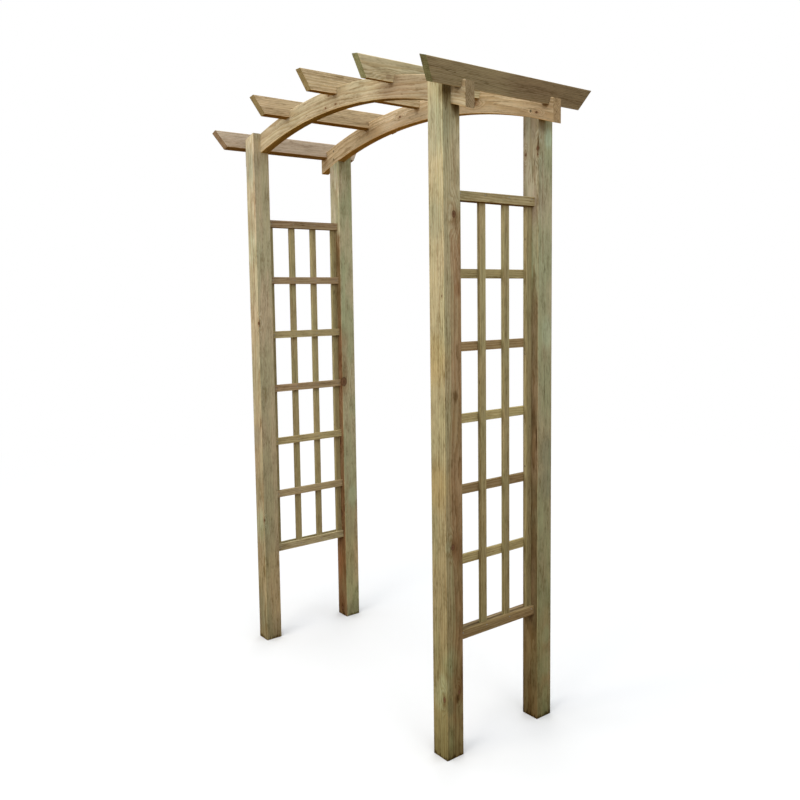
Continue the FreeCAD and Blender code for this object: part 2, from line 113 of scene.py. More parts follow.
# A painted highlight along the arrises of the beams and rafters.
HIGHLIGHT_ARRIS = (1.40, 1.38, 1.34)
CHECK_DARK = (0.30, 0.24, 0.17)
SPECK_DARK = (0.42, 0.34, 0.25)
KNOT_HALO = (0.62, 0.45, 0.35)
KNOT_HEART = (0.13, 0.060, 0.030)
KNOT_BODY = (0.17, 0.085, 0.043)
KNOT_RIM = (0.045, 0.024, 0.014)


def middle(node):
    """The middle of a CAD node's box."""
    low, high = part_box(node)
    return (low + high) / 2


# Node materials.
class Nodes:
    """A node tree, with short calls for the nodes in it."""

    def __init__(self, tree):
        self.tree = tree

    def feed(self, socket, value):
        """Give a socket a number, a colour, a vector or another node's output."""
        if isinstance(value, bpy.types.NodeSocket):
            self.tree.links.new(value, socket)
        elif socket.type == "RGBA":
            socket.default_value = (*value, 1)
        else:
            socket.default_value = value

    def add(self, kind, inputs, output=0, **settings):
        """Add a node, feed its inputs by name or number, and return one of its outputs."""
        node = self.tree.nodes.new(f"ShaderNode{kind}")
        for name, setting in settings.items():
            setattr(node, name, setting)
        for key, value in inputs.items():
            self.feed(node.inputs[key], value)
        return node.outputs[output]

    def math(self, operation, *values):
        return self.add("Math", dict(enumerate(values)), operation=operation)

    def vector(self, operation, *values):
        return self.add("VectorMath", dict(enumerate(values)), operation=operation)

    def length(self, value):
        return self.add("VectorMath", {0: value}, output="Value", operation="LENGTH")

    def dot(self, value, direction):
        return self.add("VectorMath", {0: value, 1: direction}, output="Value", operation="DOT_PRODUCT")

    def axes(self, value):
        """The three numbers of a vector."""
        split = self.tree.nodes.new("ShaderNodeSeparateXYZ")
        self.feed(split.inputs[0], value)
        return split.outputs

    def smooth(self, value, start, end):
        """A soft step from 0 at start to 1 at end, which may be the smaller."""
        low, high = sorted((start, end))
        inputs = {"Value": value, "From Min": low, "From Max": high}
        step = self.add("MapRange", inputs, interpolation_type="SMOOTHSTEP")
        return step if start < end else self.math("SUBTRACT", 1.0, step)

    def noise(self, vector, stretch, detail=2.0, roughness=0.5, output=0):
        """Noise whose cells are finer by stretch along each axis."""
        stretched = self.vector("MULTIPLY", vector, stretch)
        inputs = {"Vector": stretched, "Scale": 1.0, "Detail": detail, "Roughness": roughness}
        return self.add("TexNoise", inputs, output=output)

    def blend(self, factor, first, second, kind="MIX"):
        """Mix two colours, or lay the second over the first in another way."""
        inputs = {0: factor, 6: first, 7: second}
        return self.add("Mix", inputs, output=2, data_type="RGBA", blend_type=kind)

    def tint(self, colour, factor, by):
        """Multiply a colour by another as far as factor says."""
        return self.blend(factor, colour, by, "MULTIPLY")

    def ramp(self, value, stops):
        """Colours along a value, each given as its place and colour."""
        node = self.tree.nodes.new("ShaderNodeValToRGB")
        for _ in stops[2:]:
            node.color_ramp.elements.new(1.0)
        for element, (place, colour) in zip(node.color_ramp.elements, stops):
            element.position = place
            element.color = (*colour, 1)
        self.feed(node.inputs[0], value)
        return node.outputs[0]

    def shown(self):
        """1 for the rays that show a surface: the camera's, and what gloss and glass send on."""
        rays = self.tree.nodes.new("ShaderNodeLightPath").outputs
        seen = self.math("MAXIMUM", rays["Is Camera Ray"], rays["Is Glossy Ray"])
        return self.math("MAXIMUM", seen, rays["Is Transmission Ray"])


class Finish(Nodes):
    """A node material."""

    def __init__(self, name):
        self.material = bpy.data.materials.new(name)
        self.material.use_nodes = True
        super().__init__(self.material.node_tree)
        self.shader = self.tree.nodes["Principled BSDF"]
        self.place = self.add("TexCoord", {}, output="Object")

    def about(self, centre, turn=(0, 0, 0)):
        """Places from a centre, in axes that are turned."""
        return self.add("Mapping", {"Vector": self.place, "Location": centre, "Rotation": turn},
                        vector_type="TEXTURE")

    def coat(self, name, value):
        """Feed one of the shader's own sockets."""
        self.feed(self.shader.inputs[name], value)


# Places in a timber, with Z along its grain and X and Y across it, and the way its ends look.
def upright_grain(finish, node):
    """A post, or an upright lath."""
    return finish.about(middle(node)), ALONG_Z


def level_grain(finish, node):
    """A piece along the path, which leans as far as it stands from the crown if it is a rafter."""
    centre = middle(node)
    lean = math.atan2(centre.x, centre.z - ARCH_CENTRE) if "rafter" in node else 0.0
    return finish.about(centre, (-math.pi / 2, lean, 0)), ALONG_Y


def arched_grain(finish, node):
    """A beam: X is out from its middle line, and Z runs along the arch."""
    place = finish.about((0, middle(node).y, ARCH_CENTRE))
    axes = finish.axes(place)
    radius = finish.length(finish.vector("MULTIPLY", place, (1, 0, 1)))
    across = finish.math("SUBTRACT", radius, ARCH_RADIUS - BEAM_HALF[0])
    angle = finish.math("ARCTAN2", axes["X"], axes["Z"])
    along = finish.math("MULTIPLY", angle, ARCH_RADIUS)
    return finish.add("CombineXYZ", {"X": across, "Y": axes["Y"], "Z": along}), ALONG_X


# How fine the noises in a timber are: cells in a metre, both ways across its grain and along it.
WANDER_CELLS = (4.0, 4.0, 2.2)
BLOTCH_CELLS = (11, 11, 4.0)
SPECK_CELLS = (30, 30, 8)
FIGURE_CELLS = (34, 34, 12)
CRACK_CELLS = (38, 38, 1.1)
STREAK_CELLS = (60, 60, 1.4)
FLECK_CELLS = (150, 150, 20)
JAG_CELLS = (150, 150, 70)
SPECKLE_CELLS = (230, 230, 70)
FIBRE_CELLS = (420, 420, 9)

# How much each noise counts in a timber's tone: figure, streaks, flecks, fibres and speckles.
BLOTCHY = (0.32, 0.16, 0.20, 0.14, 0.18)
STRAIGHT = (0.14, 0.26, 0.20, 0.26, 0.14)

# How far a pith wanders, and how ragged the spots of stains, painted shadow and painted light, and knots
# are.
WANDER = 0.035
SPOT_JAG = (0.009, 0.009, 0.009)
KNOT_JAG = (0.0035, 0.0035, 0.006)

# How many times longer than wide spots are, along the grain.
SPOT_STRETCH = 1.8
SHAKE_STRETCH = 14.0
KNOT_STRETCH = 1.4
SWIRL_STRETCH = 2.8

# Heights where damp and painted shade begin and where they are full, for all timbers; and where damp does,
# for their feet and the feet's rims.
DAMP_AND_SHADE_HEIGHTS = (2.22, 0.27)
FOOT_HEIGHTS = (0.11, 0.03)
RIM_HEIGHTS = (0.040, 0.027)

# How strongly rings, checks, shakes, specks, wet feet, resin about knots and the relief show.
RING_STRENGTH = 0.7
CHECK_STRENGTH = 0.5
SHAKE_STRENGTH = 0.9
SPECK_STRENGTH = 0.65
FOOT_STRENGTH = 0.4
RESIN_STRENGTH = 0.8
RELIEF_STRENGTH = 0.5
RELIEF_DEPTH = 0.6 * MILLIMETRE

# The step from one timber's place in the noises to the next one's.
SEED_STEP = Vector((3.1, 5.3, 7.7))


class Timber:
    """What one piece of treated pine looks like, in its own grain's axes."""

    def __init__(self, half, colour=STRAW, value=1.0, pith=(0.05, 0.03), ring=0.0065, heart=0.0,
                 heart_radius=0.04, heart_colour=HEARTWOOD, heart_face=None, heart_top=None,
                 green=0.35, stains_and_shading=(), damp_and_shade=1.0, arris_wear_and_highlight=WORN_ARRIS, cut=OLIVE_CUT, underside_shade=DARK_UNDERSIDE_SHADE,
                 shakes=(), knots=(), knot_tone=0.9, shares=STRAIGHT, seed=0):
        self.half = half
        self.colour = tuple(channel * value for channel in colour)
        self.pith = pith
        self.ring = ring
        self.heart = heart
        self.heart_radius = heart_radius
        self.heart_colour = heart_colour
        self.heart_face = heart_face
        self.heart_top = heart_top
        self.green = green
        self.stains_and_shading = stains_and_shading
        self.damp_and_shade = damp_and_shade
        self.arris_wear_and_highlight = arris_wear_and_highlight
        self.cut = cut
        self.underside_shade = underside_shade
        self.shakes = shakes
        self.knots = knots
        self.knot_tone = knot_tone
        self.shares = shares
        self.seed = SEED_STEP * (seed + 1)


class Pine(Finish):
    """Treated pine. Each layer takes the colour so far and gives it back with its own marks."""

    def __init__(self, node, timber, lay_grain):
        super().__init__(node)
        self.timber = timber
        self.grain, self.end_axis = lay_grain(self, node)
        self.across = self.axes(self.grain)
        self.rise = self.axes(self.place)["Z"]
        self.normal = self.add("NewGeometry", {}, output="Normal")
        self.seeded = self.vector("ADD", self.grain, timber.seed)
        self.streak = self.noise(self.seeded, STREAK_CELLS, detail=3.0)
        self.figure = self.noise(self.seeded, FIGURE_CELLS, detail=3.0, roughness=0.6)
        self.fleck = self.noise(self.seeded, FLECK_CELLS)
        self.speckle = self.noise(self.seeded, SPECKLE_CELLS, detail=1.0)
        self.fibre = self.noise(self.seeded, FIBRE_CELLS, roughness=0.6)
        self.blotch = self.noise(self.seeded, BLOTCH_CELLS, detail=3.0)
        jag = self.noise(self.seeded, JAG_CELLS, output=1)
        jag = self.vector("SUBTRACT", jag, (0.5, 0.5, 0.5))
        self.ragged = self.vector("MULTIPLY_ADD", jag, SPOT_JAG, self.grain)
        self.knotted = self.vector("MULTIPLY_ADD", jag, KNOT_JAG, self.grain)
        self.swirl = self.nearest(self.knotted, timber.knots, SWIRL_STRETCH)

    def nearest(self, place, spots, stretch):
        """How far a place is from the nearest spot, in the spots' radii, or None without spots."""
        least = None
        for *spot, radius in spots:
            away = self.vector("SUBTRACT", place, spot)
            away = self.length(self.vector("DIVIDE", away, (radius, radius, stretch * radius)))
            least = away if least is None else self.math("MINIMUM", least, away)
        return least

    def from_pith(self):
        """The distance from a pith that wanders along the piece."""
        wander = self.noise(self.seeded, WANDER_CELLS, output=1)
        wander = self.vector("MULTIPLY_ADD", wander, (WANDER, WANDER, 0), (-WANDER / 2, -WANDER / 2, 0))
        away = self.vector("SUBTRACT", self.vector("ADD", self.grain, wander), (*self.timber.pith, 0))
        return self.length(self.vector("MULTIPLY", away, (1, 1, 0)))

    def late_wood(self, radius):
        """The late wood of growth rings, which bend round knots."""
        rings = self.math("DIVIDE", radius, self.timber.ring)
        rings = self.math("MULTIPLY_ADD", self.fleck, 0.7, rings)
        rings = self.math("MULTIPLY_ADD", self.streak, 1.4, rings)
        if self.timber.knots:
            rings = self.math("MULTIPLY_ADD", self.smooth(self.swirl, 4.0, 0.8), 2.6, rings)
        season = self.math("FRACT", rings)
        return self.math("MULTIPLY", self.smooth(season, 0.2, 0.85), self.smooth(season, 1.0, 0.88))

    def sapwood(self, late):
        """The timber's own colour, with figure, streaks, flecks, fibres, speckles and rings."""
        tone = 0.0
        noises = (self.figure, self.streak, self.fleck, self.fibre, self.speckle)
        for noise, share in zip(noises, self.timber.shares):
            tone = self.math("MULTIPLY_ADD", noise, share, tone)
        fibres = self.ramp(tone, [(0.40, FIBRE_DARK), (0.49, FIBRE_PLAIN), (0.58, FIBRE_LIGHT)])
        colour = self.blend(1.0, self.timber.colour, fibres, "MULTIPLY")
        return self.tint(colour, self.math("MULTIPLY", late, RING_STRENGTH), LATE_WOOD)

    def heartwood(self, colour, radius):
        """Heartwood near the pith, all round or on one face, and up to some height."""
        timber = self.timber
        edge = self.math("MULTIPLY_ADD", self.streak, 0.024, radius)
        core = self.smooth(edge, timber.heart_radius + 0.020, timber.heart_radius + 0.006)
        if timber.heart_face:
            faced = self.smooth(self.dot(self.normal, timber.heart_face), 0.5, 0.8)
            core = self.math("MULTIPLY", core, faced)
        if timber.heart_top:
            top = self.math("MULTIPLY_ADD", self.figure, 0.3, self.across["Z"])
            below = self.smooth(top, timber.heart_top + 0.15, timber.heart_top)
            core = self.math("MULTIPLY", core, below)
        return self.tint(colour, self.math("MULTIPLY", core, timber.heart), timber.heart_colour)

    def salts(self, colour):
        """Green salts, taken up in blotches."""
        patchy = self.math("MULTIPLY_ADD", self.streak, 0.35, self.math("MULTIPLY", self.blotch, 0.65))
        taken = self.math("MULTIPLY", self.smooth(patchy, 0.38, 0.62), self.timber.green)
        return self.tint(colour, taken, SALT_GREEN)

    def stains_and_shading(self, colour):
        """Stains, painted shadows and painted light, each colour in its spots."""
        for spot_colour, spots in self.timber.stains_and_shading:
            spotted = self.smooth(self.nearest(self.ragged, spots, SPOT_STRETCH), 1.4, 0.5)
            colour = self.tint(colour, spotted, spot_colour)
        return colour

    def damp_and_shade(self, colour):
        """Damp and painted shade that darken the lower timbers; the posts' feet a little more, and the
        feet's rims.
        """
        top, full = DAMP_AND_SHADE_HEIGHTS
        level = self.math("MULTIPLY_ADD", self.blotch, 0.35, self.rise)
        wet_and_shaded = self.add("MapRange", {"Value": level, "From Min": top, "From Max": full})
        wet_and_shaded = self.math("POWER", wet_and_shaded, 1.25)
        colour = self.tint(colour, self.math("MULTIPLY", wet_and_shaded, self.timber.damp_and_shade), DAMP_AND_SHADE_UMBER)
        level = self.math("MULTIPLY_ADD", self.fleck, 0.05, self.rise)
        foot = self.smooth(level, *FOOT_HEIGHTS)
        colour = self.tint(colour, self.math("MULTIPLY", foot, FOOT_STRENGTH), DAMP_AND_SHADE_UMBER)
        return self.tint(colour, self.smooth(level, *RIM_HEIGHTS), WET_RIM)

    def worn_and_highlighted_arrises(self, colour):
        """Arrises, worn paler, and on beams and rafters brighter still: a painted highlight."""
        inset = [self.math("SUBTRACT", half, self.math("ABSOLUTE", self.across[axis]))
                 for axis, half in zip("XY", self.timber.half)]
        arris_wear_and_highlight = self.math("MULTIPLY_ADD", self.fleck, 0.004, self.math("MAXIMUM", *inset))
        return self.tint(colour, self.smooth(arris_wear_and_highlight, 0.0055, 0.003), self.timber.arris_wear_and_highlight)

    def checks(self, colour):
        """Drying checks and shakes, which are thin cracks along the grain, and how open they are."""
        crack = self.noise(self.seeded, CRACK_CELLS, detail=1.0)
        line = self.math("ABSOLUTE", self.math("SUBTRACT", crack, 0.5))
        check = self.math("MULTIPLY", self.smooth(line, 0.006, 0.002), self.smooth(self.blotch, 0.5, 0.6))
        colour = self.tint(colour, self.math("MULTIPLY", check, CHECK_STRENGTH), CHECK_DARK)
        if self.timber.shakes:
            shake = self.smooth(self.nearest(self.knotted, self.timber.shakes, SHAKE_STRETCH), 1.3, 0.7)
            check = self.math("MAXIMUM", check, shake)
            colour = self.tint(colour, self.math("MULTIPLY", shake, SHAKE_STRENGTH), CHECK_DARK)
        return colour, check

    def specks(self, colour):
        """Small dark specks."""
        cells = self.vector("MULTIPLY", self.seeded, SPECK_CELLS)
        speck = self.add("TexVoronoi", {"Vector": cells, "Scale": 1.0}, output="Distance")
        speck = self.smooth(self.math("MULTIPLY_ADD", self.fleck, 0.16, speck), 0.155, 0.115)
        return self.tint(colour, self.math("MULTIPLY", speck, SPECK_STRENGTH), SPECK_DARK)

    def knots(self, colour, height):
        """Knots, with a darker rim and resin about them, a little sunk."""
        tone = self.timber.knot_tone
        knot = self.nearest(self.knotted, self.timber.knots, KNOT_STRETCH)
        wood = self.ramp(self.math("MULTIPLY", knot, 0.5),
                         [(0.0, KNOT_RIM), (0.12, KNOT_HEART), (0.34, KNOT_BODY), (0.5, KNOT_RIM)])
        body = self.math("MULTIPLY", self.smooth(knot, 1.15, 0.85), tone)
        halo = self.math("MULTIPLY", self.smooth(self.swirl, 2.2, 0.5), RESIN_STRENGTH * tone)
        colour = self.blend(body, self.tint(colour, halo, KNOT_HALO), wood)
        return colour, self.math("MULTIPLY_ADD", body, -0.6, height)

    def shaded_undersides(self, colour):
        """Painted shade on faces that look down, which are made warmer, and darker on most timbers."""
        underside_shade = self.smooth(self.axes(self.normal)["Z"], -0.5, -0.8)
        return self.tint(colour, underside_shade, self.timber.underside_shade)

    def end_grain(self, colour):
        """Faces that look along the grain: thirsty, so the salts have darkened them."""
        end = self.smooth(self.math("ABSOLUTE", self.dot(self.normal, self.end_axis)), 0.55, 0.8)
        return self.tint(colour, end, self.timber.cut)


def treated_pine(node, timber, lay_grain):
    """Pressure treated pine: growth rings about a pith, fibres, knots, checks and green salts."""
    pine = Pine(node, timber, lay_grain)
    radius = pine.from_pith()
    late = pine.late_wood(radius)
    colour = pine.sapwood(late)
    if timber.heart:
        colour = pine.heartwood(colour, radius)
    for layer in (pine.salts, pine.stains_and_shading, pine.damp_and_shade, pine.worn_and_highlighted_arrises):
        colour = layer(colour)
    colour, check = pine.checks(colour)
    colour = pine.specks(colour)
    height = pine.math("MULTIPLY_ADD", late, 0.5, pine.math("MULTIPLY", pine.fibre, 0.6))
    height = pine.math("SUBTRACT", height, check)
    if timber.knots:
        colour, height = pine.knots(colour, height)
    colour = pine.end_grain(pine.shaded_undersides(colour))
    pine.coat("Base Color", colour)
    pine.coat("Roughness", pine.math("MULTIPLY_ADD", pine.fibre, -0.2, 0.82))
    pine.coat("Specular IOR Level", 0.0)
    relief = {"Strength": RELIEF_STRENGTH, "Distance": RELIEF_DEPTH, "Height": height}
    pine.coat("Normal", pine.add("Bump", relief))
    return pine.material


def dress(node, material):
    """Give a CAD node a finish."""
    slots = nodes[node].data.materials
    slots.clear()
    slots.append(material)


# Posts: the grain stands upright. Stains, painted shadows, shakes and knots are spots: places in the
# timber's own axes, from its middle, and a radius.
POST_TIMBERS = {
    "front_right_post": Timber(
        POST_HALF, value=0.96, pith=(0.075, 0.03), heart=0.95, heart_radius=0.055, heart_top=0.70,
        green=0.45, damp_and_shade=0.94, shares=BLOTCHY,
        stains_and_shading=[(BLEACHED, [(-0.005, -0.035, -0.88, 0.026), (0.015, -0.035, -0.84, 0.022),
                            (0.035, -0.026, -0.38, 0.01)]),
                (PALE_GREEN, [(0.035, -0.012, -0.76, 0.026), (0.035, 0.018, -0.935, 0.02),
                              (0.035, 0.01, -1.02, 0.035)]),
                (DULL_GREEN, [(-0.005, -0.035, 0.64, 0.036), (0.035, -0.02, -0.91, 0.016)]),
                (COOL_GREEN, [(-0.005, -0.035, 0.92, 0.05)]),
                (AMBER, [(-0.005, -0.035, 0.21, 0.045), (-0.005, -0.035, -0.19, 0.045)]),
                # The first two brown spots are a painted shadow under the right end rafter, on the post's
                # outer face; the other two are darker spots lower down.
                (BROWN_STAIN_AND_SHADOW, [(0.035, -0.02, 1.025, 0.024), (0.035, 0.018, 0.99, 0.016),
                              (0.035, 0.01, -0.89, 0.008), (0.035, 0.01, 0.095, 0.01)]),
                (RUSTY, [(0.035, 0.022, 0.43, 0.014), (0.035, 0.02, -0.39, 0.028),
                         (0.035, 0.03, -0.84, 0.018)])],
        knots=[(0.035, 0.008, 0.66, 0.008), (0.026, -0.035, 0.41, 0.002),
               (0.035, -0.006, -0.385, 0.007), (0.022, -0.035, -0.885, 0.006),
               (0.035, 0.017, -0.87, 0.005)], seed=1),
    "rear_right_post": Timber(
        POST_HALF, SAGE_STRAW, 1.01, pith=(0.01, -0.15), heart=0.7, heart_radius=0.16,
        heart_colour=RED_HEART, heart_face=FRONT, heart_top=0.5, green=0.75, damp_and_shade=0.92, shares=BLOTCHY,
        stains_and_shading=[(DULL_PINK, [(-0.01, -0.035, 0.96, 0.05), (-0.01, -0.035, 0.84, 0.05),
                             (-0.01, -0.035, 0.72, 0.05)]),
                (PALE_GREEN, [(0.035, 0.01, -0.79, 0.02), (0.035, 0.012, -0.895, 0.026),
                              (0.035, 0.015, -1.02, 0.03), (0.035, 0.012, 0.28, 0.03)]),
                (BLEACHED, [(0.035, 0.015, 0.93, 0.018)]),
                (DULL_BROWN, [(0.0, -0.035, 0.015, 0.034)]),
                (SUNNED, [(-0.005, -0.035, -0.81, 0.045)]),
                (ROSY, [(0.035, 0.015, -0.75, 0.04), (0.035, 0.015, -0.86, 0.04),
                        (0.035, 0.015, -0.98, 0.04)]),
                (DULL_GREEN, [(0.035, 0.015, -0.14, 0.034), (0.035, 0.015, -0.24, 0.034)])],
        shakes=[(0.034, -0.034, 0.91, 0.0025), (0.03, -0.035, -0.08, 0.003)],
        knots=[(0.033, -0.035, 0.895, 0.006), (0.033, -0.035, 0.875, 0.003),
               (-0.022, -0.035, 0.88, 0.004)], seed=2),
    "front_left_post": Timber(
        POST_HALF, PALE_STRAW, 1.08, pith=(0.03, -0.12), heart=0.4, heart_radius=0.10, heart_face=FRONT,
        heart_top=0.9, green=0.6, damp_and_shade=0.71, shares=BLOTCHY,
        stains_and_shading=[(DULL_GREEN, [(-0.01, -0.035, 0.96, 0.05), (-0.005, -0.035, -0.19, 0.03),
                              (-0.01, -0.035, -0.96, 0.05)]),
                (PALE_GREEN, [(-0.01, -0.035, 0.61, 0.04), (0.0, -0.035, -0.58, 0.04)]),
                (SUNNED, [(0.035, 0.005, -0.78, 0.05), (0.035, 0.005, -0.92, 0.05)])],
        knots=[(0.035, -0.033, 0.3, 0.005), (0.035, -0.034, -0.55, 0.004)], seed=3),
    "rear_left_post": Timber(
        POST_HALF, SAGE_STRAW, 1.12, pith=(0.01, -0.15), heart=0.95, heart_radius=0.16,
        heart_colour=RED_HEART, heart_face=FRONT, heart_top=0.76, green=0.9, damp_and_shade=0.47, shares=BLOTCHY,
        stains_and_shading=[(PALE_PINK, [(-0.01, -0.035, 0.8, 0.04), (-0.01, -0.035, 0.9, 0.05)]),
                (SUNNED, [(0.035, 0.005, -0.79, 0.05), (0.035, 0.005, -0.94, 0.05),
                          (0.0, -0.035, -0.84, 0.045)]),
                (PALE_GREEN, [(0.035, 0.01, -0.52, 0.03)]),
                (ROSY, [(0.02, -0.02, -0.7, 0.12)]),
                (RUSTY, [(0.018, -0.035, 0.21, 0.036), (0.025, -0.035, 0.12, 0.028),
                         (0.0, -0.035, -1.02, 0.026)])],
        knots=[(0.035, -0.026, 0.02, 0.015), (0.011, -0.035, -0.26, 0.006),
               (0.011, -0.035, -0.6, 0.006), (0.028, -0.035, -0.57, 0.005),
               (0.0, -0.035, -1.055, 0.006)], seed=4),
}
for node, timber in POST_TIMBERS.items():
    dress(node, treated_pine(node, timber, upright_grain))

# Beams: the grain follows the arch, and spots lie along it from the crown.
BEAM_TIMBERS = {
    "front_beam": Timber(
        BEAM_HALF, SANDY_TAN, 0.97, pith=(0.03, 0.05), green=0.3, arris_wear_and_highlight=HIGHLIGHT_ARRIS, cut=GREY_CUT,
        underside_shade=WARM_UNDERSIDE_SHADE,
        # The dull brown spots darken the front face towards the beam's right end.
        stains_and_shading=[(DULL_BROWN, [(0.0, -0.018, 0.36, 0.05), (0.0, -0.018, 0.44, 0.055),
                              (0.0, -0.018, 0.55, 0.055)]),
                # A painted shadow on the beam's front face beside the right post, under the right end
                # rafter.
                (BROWN_STAIN_AND_SHADOW, [(0.015, -0.018, 0.67, 0.016)])],
        knots=[(-0.023, -0.018, -0.065, 0.003), (-0.021, -0.018, 0.005, 0.003),
               (0.017, -0.018, -0.04, 0.003)], seed=11),
    "rear_beam": Timber(
        BEAM_HALF, TAN, 1.21, pith=(-0.02, 0.06), green=0.1, arris_wear_and_highlight=HIGHLIGHT_ARRIS, cut=GREY_CUT,
        underside_shade=WARM_UNDERSIDE_SHADE,
        # Painted light on the middle of the front face, which lies in shade.
        stains_and_shading=[(PAINTED_LIGHT, [(0.0, -0.018, -0.1, 0.08)])],
        knots=[(-0.018, -0.018, 0.66, 0.004), (-0.005, -0.018, 0.335, 0.006),
               (0.003, -0.018, -0.115, 0.004)], seed=12),
}
for node, timber in BEAM_TIMBERS.items():
    dress(node, treated_pine(node, timber, arched_grain))

# Rafters: the grain runs along the path, square to the arch.
RAFTER_TIMBERS = {
    "left_end_rafter": Timber(
        RAFTER_HALF, PINKISH_TAN, 1.10, pith=(0.02, 0.12), green=0.1, arris_wear_and_highlight=HIGHLIGHT_ARRIS, cut=BROWN_CUT,
        seed=21),
    "left_inner_rafter": Timber(
        RAFTER_HALF, TAN, 1.10, pith=(0.06, -0.09), green=0.1, arris_wear_and_highlight=HIGHLIGHT_ARRIS, seed=22),
    "crown_rafter": Timber(
        RAFTER_HALF, TAN, 1.20, pith=(-0.04, 0.05), green=0.2, arris_wear_and_highlight=HIGHLIGHT_ARRIS, seed=23),
    "right_inner_rafter": Timber(
        RAFTER_HALF, STRAW, 1.10, pith=(-0.05, -0.03), green=0.15, arris_wear_and_highlight=HIGHLIGHT_ARRIS, cut=GREEN_CUT,
        knots=[(0.016, 0.02, -0.23, 0.008)], knot_tone=0.35, seed=24),
    "right_end_rafter": Timber(
        RAFTER_HALF, UMBER_TAN, 1.0, pith=(0.015, 0.14), ring=0.0045, green=0.2, arris_wear_and_highlight=HIGHLIGHT_ARRIS,
        stains_and_shading=[(DULL_BROWN, [(0.016, 0.0, 0.10, 0.07), (0.016, 0.0, 0.25, 0.07)])],
        cut=GREEN_CUT, seed=25),
}
for node, timber in RAFTER_TIMBERS.items():
    dress(node, treated_pine(node, timber, level_grain))

# Trellis laths: uprights have upright grain, rails run along the path.
UPRIGHTS = ("front_stile", "front_upright", "rear_upright", "rear_stile")
RAILS = tuple(f"rail_{number}" for number in range(1, 8))
OUTER_RAILS = ("outer_top_rail", "outer_bottom_rail")
UPRIGHT_VALUES = {"left": (1.04, 1.10, 1.10, 1.04), "right": (1.0, 1.15, 1.05, 1.0)}
# How strongly damp and painted shade darken the lower laths.
UPRIGHT_DAMP_AND_SHADE = {"left": 0.5, "right": 0.8}
RAIL_DAMP_AND_SHADE = 0.5
UPRIGHT_PITH = (0.02, 0.03)
RAIL_PITH = (0.02, 0.02)
FIRST_LATH_SEED = 31
RAIL_TONES = {
    "left": ((BROWN_TAN, 1.0), (BROWN_TAN, 1.08), (OLIVE_TAN, 1.18), (BROWN_TAN, 1.20), (OLIVE_TAN, 1.36),
             (TAN, 1.09), (STRAW, 1.12), (BROWN_TAN, 1.0), (OLIVE_TAN, 1.0)),
    "right": ((BROWN_TAN, 1.0), (OCHRE_TAN, 1.07), (RUST_TAN, 1.04), (OCHRE_TAN, 1.35), (RUST_TAN, 0.90),
              (OCHRE_TAN, 1.23), (BROWN_TAN, 1.0), (OLIVE_TAN, 1.04), (RUST_TAN, 0.89)),
}
seed = FIRST_LATH_SEED
for side in SIDES:
    for upright, value in zip(UPRIGHTS, UPRIGHT_VALUES[side]):
        node = f"{side}_panel_{upright}"
        timber = Timber(UPRIGHT_HALF, OLIVE_TAN, value, UPRIGHT_PITH, green=0.4, damp_and_shade=UPRIGHT_DAMP_AND_SHADE[side],
                        seed=seed)
        dress(node, treated_pine(node, timber, upright_grain))
        seed += 1
    for rail, (colour, value) in zip(RAILS + OUTER_RAILS, RAIL_TONES[side]):
        node = f"{side}_panel_{rail}"
        timber = Timber(RAIL_HALF, colour, value, RAIL_PITH, green=0.3, damp_and_shade=RAIL_DAMP_AND_SHADE, seed=seed)
        dress(node, treated_pine(node, timber, level_grain))
        seed += 1


# Screws and nails, of plated steel.
SCREW_PLATING = (0.26, 0.20, 0.11)
NAIL_PLATING = (0.36, 0.34, 0.30)
FILM_CELLS = (900, 900, 900)
FILM_DULLS = 0.55


def plated_steel(name, colour):
    """Plated steel, with a dull patchy film."""
    finish = Finish(name)
    film = finish.noise(finish.place, FILM_CELLS, detail=3.0)
    dull = tuple(channel * FILM_DULLS for channel in colour)
    finish.coat("Base Color", finish.ramp(film, [(0.3, dull), (0.65, colour)]))
    finish.coat("Roughness", finish.math("MULTIPLY_ADD", film, 0.25, 0.5))
    finish.coat("Metallic", 1.0)
    return finish.material


screw_steel = plated_steel("screw_steel", SCREW_PLATING)
nail_steel = plated_steel("nail_steel", NAIL_PLATING)

# How round the fasteners are, how a recess tapers, the angle above which an edge stays sharp, and how
# much further each fastener is turned than the one before it.
SCREW_SIDES = 20
NAIL_SIDES = 10
THREAD_STEPS = 10
RECESS_TAPER = 0.4
SMOOTH_ANGLE = math.radians(35)
TURN_ON = math.radians(37)


def start_turning(sides, radius, top=0.0):
    """A round face in edit mode, to be pulled down into a turned piece."""
    bpy.ops.object.select_all(action="DESELECT")
    bpy.ops.mesh.primitive_circle_add(vertices=sides, radius=radius, fill_type="NGON", location=(0, 0, top))
    bpy.ops.object.transform_apply(location=True, rotation=True, scale=True)
    bpy.ops.object.mode_set(mode="EDIT")
    bpy.ops.mesh.select_all(action="SELECT")


def pull_down(steps, radius):
    """Extrude the selected round face down by steps of depth and new radius, and end it in a point."""
    for depth, new_radius in steps:
        bpy.ops.mesh.extrude_region_move(TRANSFORM_OT_translate={"value": (0, 0, -depth)})
        scale = new_radius / radius
        bpy.ops.transform.resize(value=(scale, scale, 1), center_override=(0, 0, 0))
        radius = new_radius
    bpy.ops.mesh.merge(type="CENTER")
    bpy.ops.mesh.select_all(action="SELECT")
    bpy.ops.mesh.normals_make_consistent(inside=False)
    bpy.ops.object.mode_set(mode="OBJECT")
    return bpy.context.object


